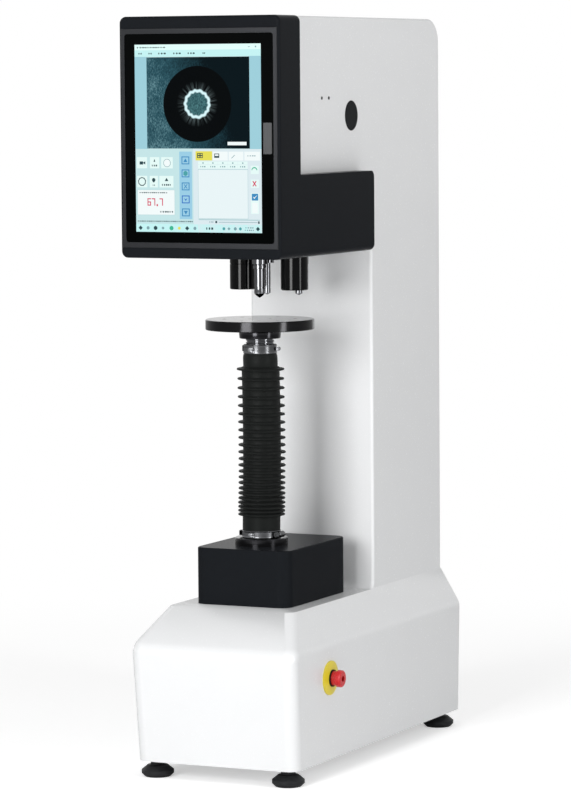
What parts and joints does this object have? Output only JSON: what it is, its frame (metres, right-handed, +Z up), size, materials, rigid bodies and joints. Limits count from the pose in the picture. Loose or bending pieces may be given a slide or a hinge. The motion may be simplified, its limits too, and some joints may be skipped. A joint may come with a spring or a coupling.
{
  "type": "bench hardness tester",
  "caption": "Bench hardness tester: C-frame with a screw-raised round table under an indexing turret of indenters and objectives, with a touch screen on its head.",
  "frame": {"origin": "on the floor under the axis of the elevating screw, which is the line of the test force", "axes": "+Z up along the screw, -Y towards the front (the screen), +X to the right seen from the front"},
  "size_m": [0.2633, 0.5939, 1.02],
  "materials": {
    "white_paint": "semi-gloss white powder coat",
    "black_paint": "satin black powder coat",
    "black_oxide": "blackened and polished steel",
    "steel": "turned steel",
    "chrome": "bright chrome plate",
    "cover_grey": "zinc-plated sheet",
    "rubber": "black rubber",
    "foot_plastic": "black nylon",
    "bronze": "tin bronze",
    "cast": "machined cast iron",
    "aluminium": "machined aluminium",
    "trim_grey": "dark grey anodised frame",
    "screen_glass": "black-bordered touch glass",
    "panel": "display module",
    "black_plastic": "black moulded plastic",
    "yellow": "yellow moulded plastic",
    "red": "red moulded plastic",
    "board_green": "circuit board"
  },
  "bodies": {
    "frame": {"frame_casting": "white_paint", "base_bottom_plate": "cover_grey", "rear_cover": "white_paint", "rear_cover_screws": "steel", "levelling_feet": "foot_plastic", "foot_lock_nuts": "steel", "elevator_housing": "black_paint", "nut_bearings": "steel", "key_bush": "bronze", "lift_motor": "black_paint", "motor_bracket": "steel", "lift_belt": "rubber", "bellows_flange": "black_oxide", "bellows": "rubber", "lower_hose_clamp": "steel", "guide_rails": "steel", "press_guide": "cast", "load_screw_block": "cast", "load_motor": "black_paint", "load_belt": "rubber", "head_housing": "black_paint", "screen_trim": "trim_grey", "screen_glass": "screen_glass", "display_panel": "panel", "panel_computer": "aluminium", "side_plug": "black_plastic", "side_screws": "black_oxide", "estop_ring": "yellow", "estop_body": "black_plastic", "mains_inlet": "black_plastic", "switch_frame": "black_plastic", "power_supply": "cover_grey", "control_board": "board_green"},
    "table": {"lead_screw": "steel", "table_seat": "black_oxide", "test_table": "black_oxide", "upper_hose_clamp": "steel"},
    "nut": {"lift_nut": "bronze", "nut_pulley": "aluminium"},
    "motor_rotor": {"motor_pulley": "aluminium"},
    "press": {"press_head": "cast", "load_cell": "steel", "turret_motor": "black_plastic", "press_carriage": "cast"},
    "load_screw": {"load_screw": "steel", "load_screw_pulley": "aluminium"},
    "load_rotor": {"load_motor_pulley": "aluminium"},
    "turret": {"turret_drum": "aluminium", "diamond_indenter": "chrome", "wide_objective": "black_oxide", "slim_objective": "black_oxide", "ball_indenters": "chrome", "spot_lamp": "black_plastic"},
    "stop_stem": {"estop_stem": "black_plastic"},
    "stop_head": {"estop_head": "red"},
    "rocker": {"power_rocker": "black_plastic"}
  },
  "joints": [
    {"name": "nut_spin", "type": "hinge", "parent": "frame", "child": "nut", "pos_m": [0, 0, 0.228], "axis": [0, 0, 1], "range_deg": [-6075, 900]},
    {"name": "table_lift", "type": "slide", "parent": "frame", "child": "table", "axis": [0, 0, 1], "range_m": [-0.1351, 0.0201], "deforming": ["bellows"]},
    {"name": "motor_spin", "type": "hinge", "parent": "frame", "child": "motor_rotor", "pos_m": [0, 0.205, 0.19], "axis": [0, 0, 1], "range_deg": [-15207.5, 2270]},
    {"name": "press_stroke", "type": "slide", "parent": "frame", "child": "press", "axis": [0, 0, 1], "range_m": [-0.008, 0]},
    {"name": "load_screw_spin", "type": "hinge", "parent": "frame", "child": "load_screw", "pos_m": [0, 0.1, 0.945], "axis": [0, 0, 1], "range_deg": [0, 586]},
    {"name": "load_motor_spin", "type": "hinge", "parent": "frame", "child": "load_rotor", "pos_m": [0, 0.25, 0.95], "axis": [0, 0, 1], "range_deg": [0, 1465]},
    {"name": "turret_index", "type": "hinge", "parent": "press", "child": "turret", "pos_m": [0, 0.041, 0.738], "axis": [0, 0, 1], "range_deg": [-144, 144]},
    {"name": "stop_push", "type": "slide", "parent": "frame", "child": "stop_stem", "axis": [-0.9998, 0, 0.0192], "range_m": [0, 0.004], "stiffness_N_per_m": 400},
    {"name": "stop_twist", "type": "hinge", "parent": "stop_stem", "child": "stop_head", "pos_m": [0.12145, -0.045, 0.1346], "axis": [0.9998, 0, -0.0192], "range_deg": [-30, 0], "stiffness_Nm_per_rad": 0.01},
    {"name": "rocker_tip", "type": "hinge", "parent": "frame", "child": "rocker", "pos_m": [0.045, 0.404, 0.08], "axis": [1, 0, 0], "range_deg": [-16, 0]}
  ],
  "couplings": [
    {"joint": "table_lift", "follows": "nut_spin", "m_per_rad": 0.0012732},
    {"joint": "motor_spin", "follows": "nut_spin", "ratio": 2.5},
    {"joint": "load_screw_spin", "follows": "press_stroke", "rad_per_m": -1256.6},
    {"joint": "load_motor_spin", "follows": "press_stroke", "rad_per_m": -3141.6}
  ]
}
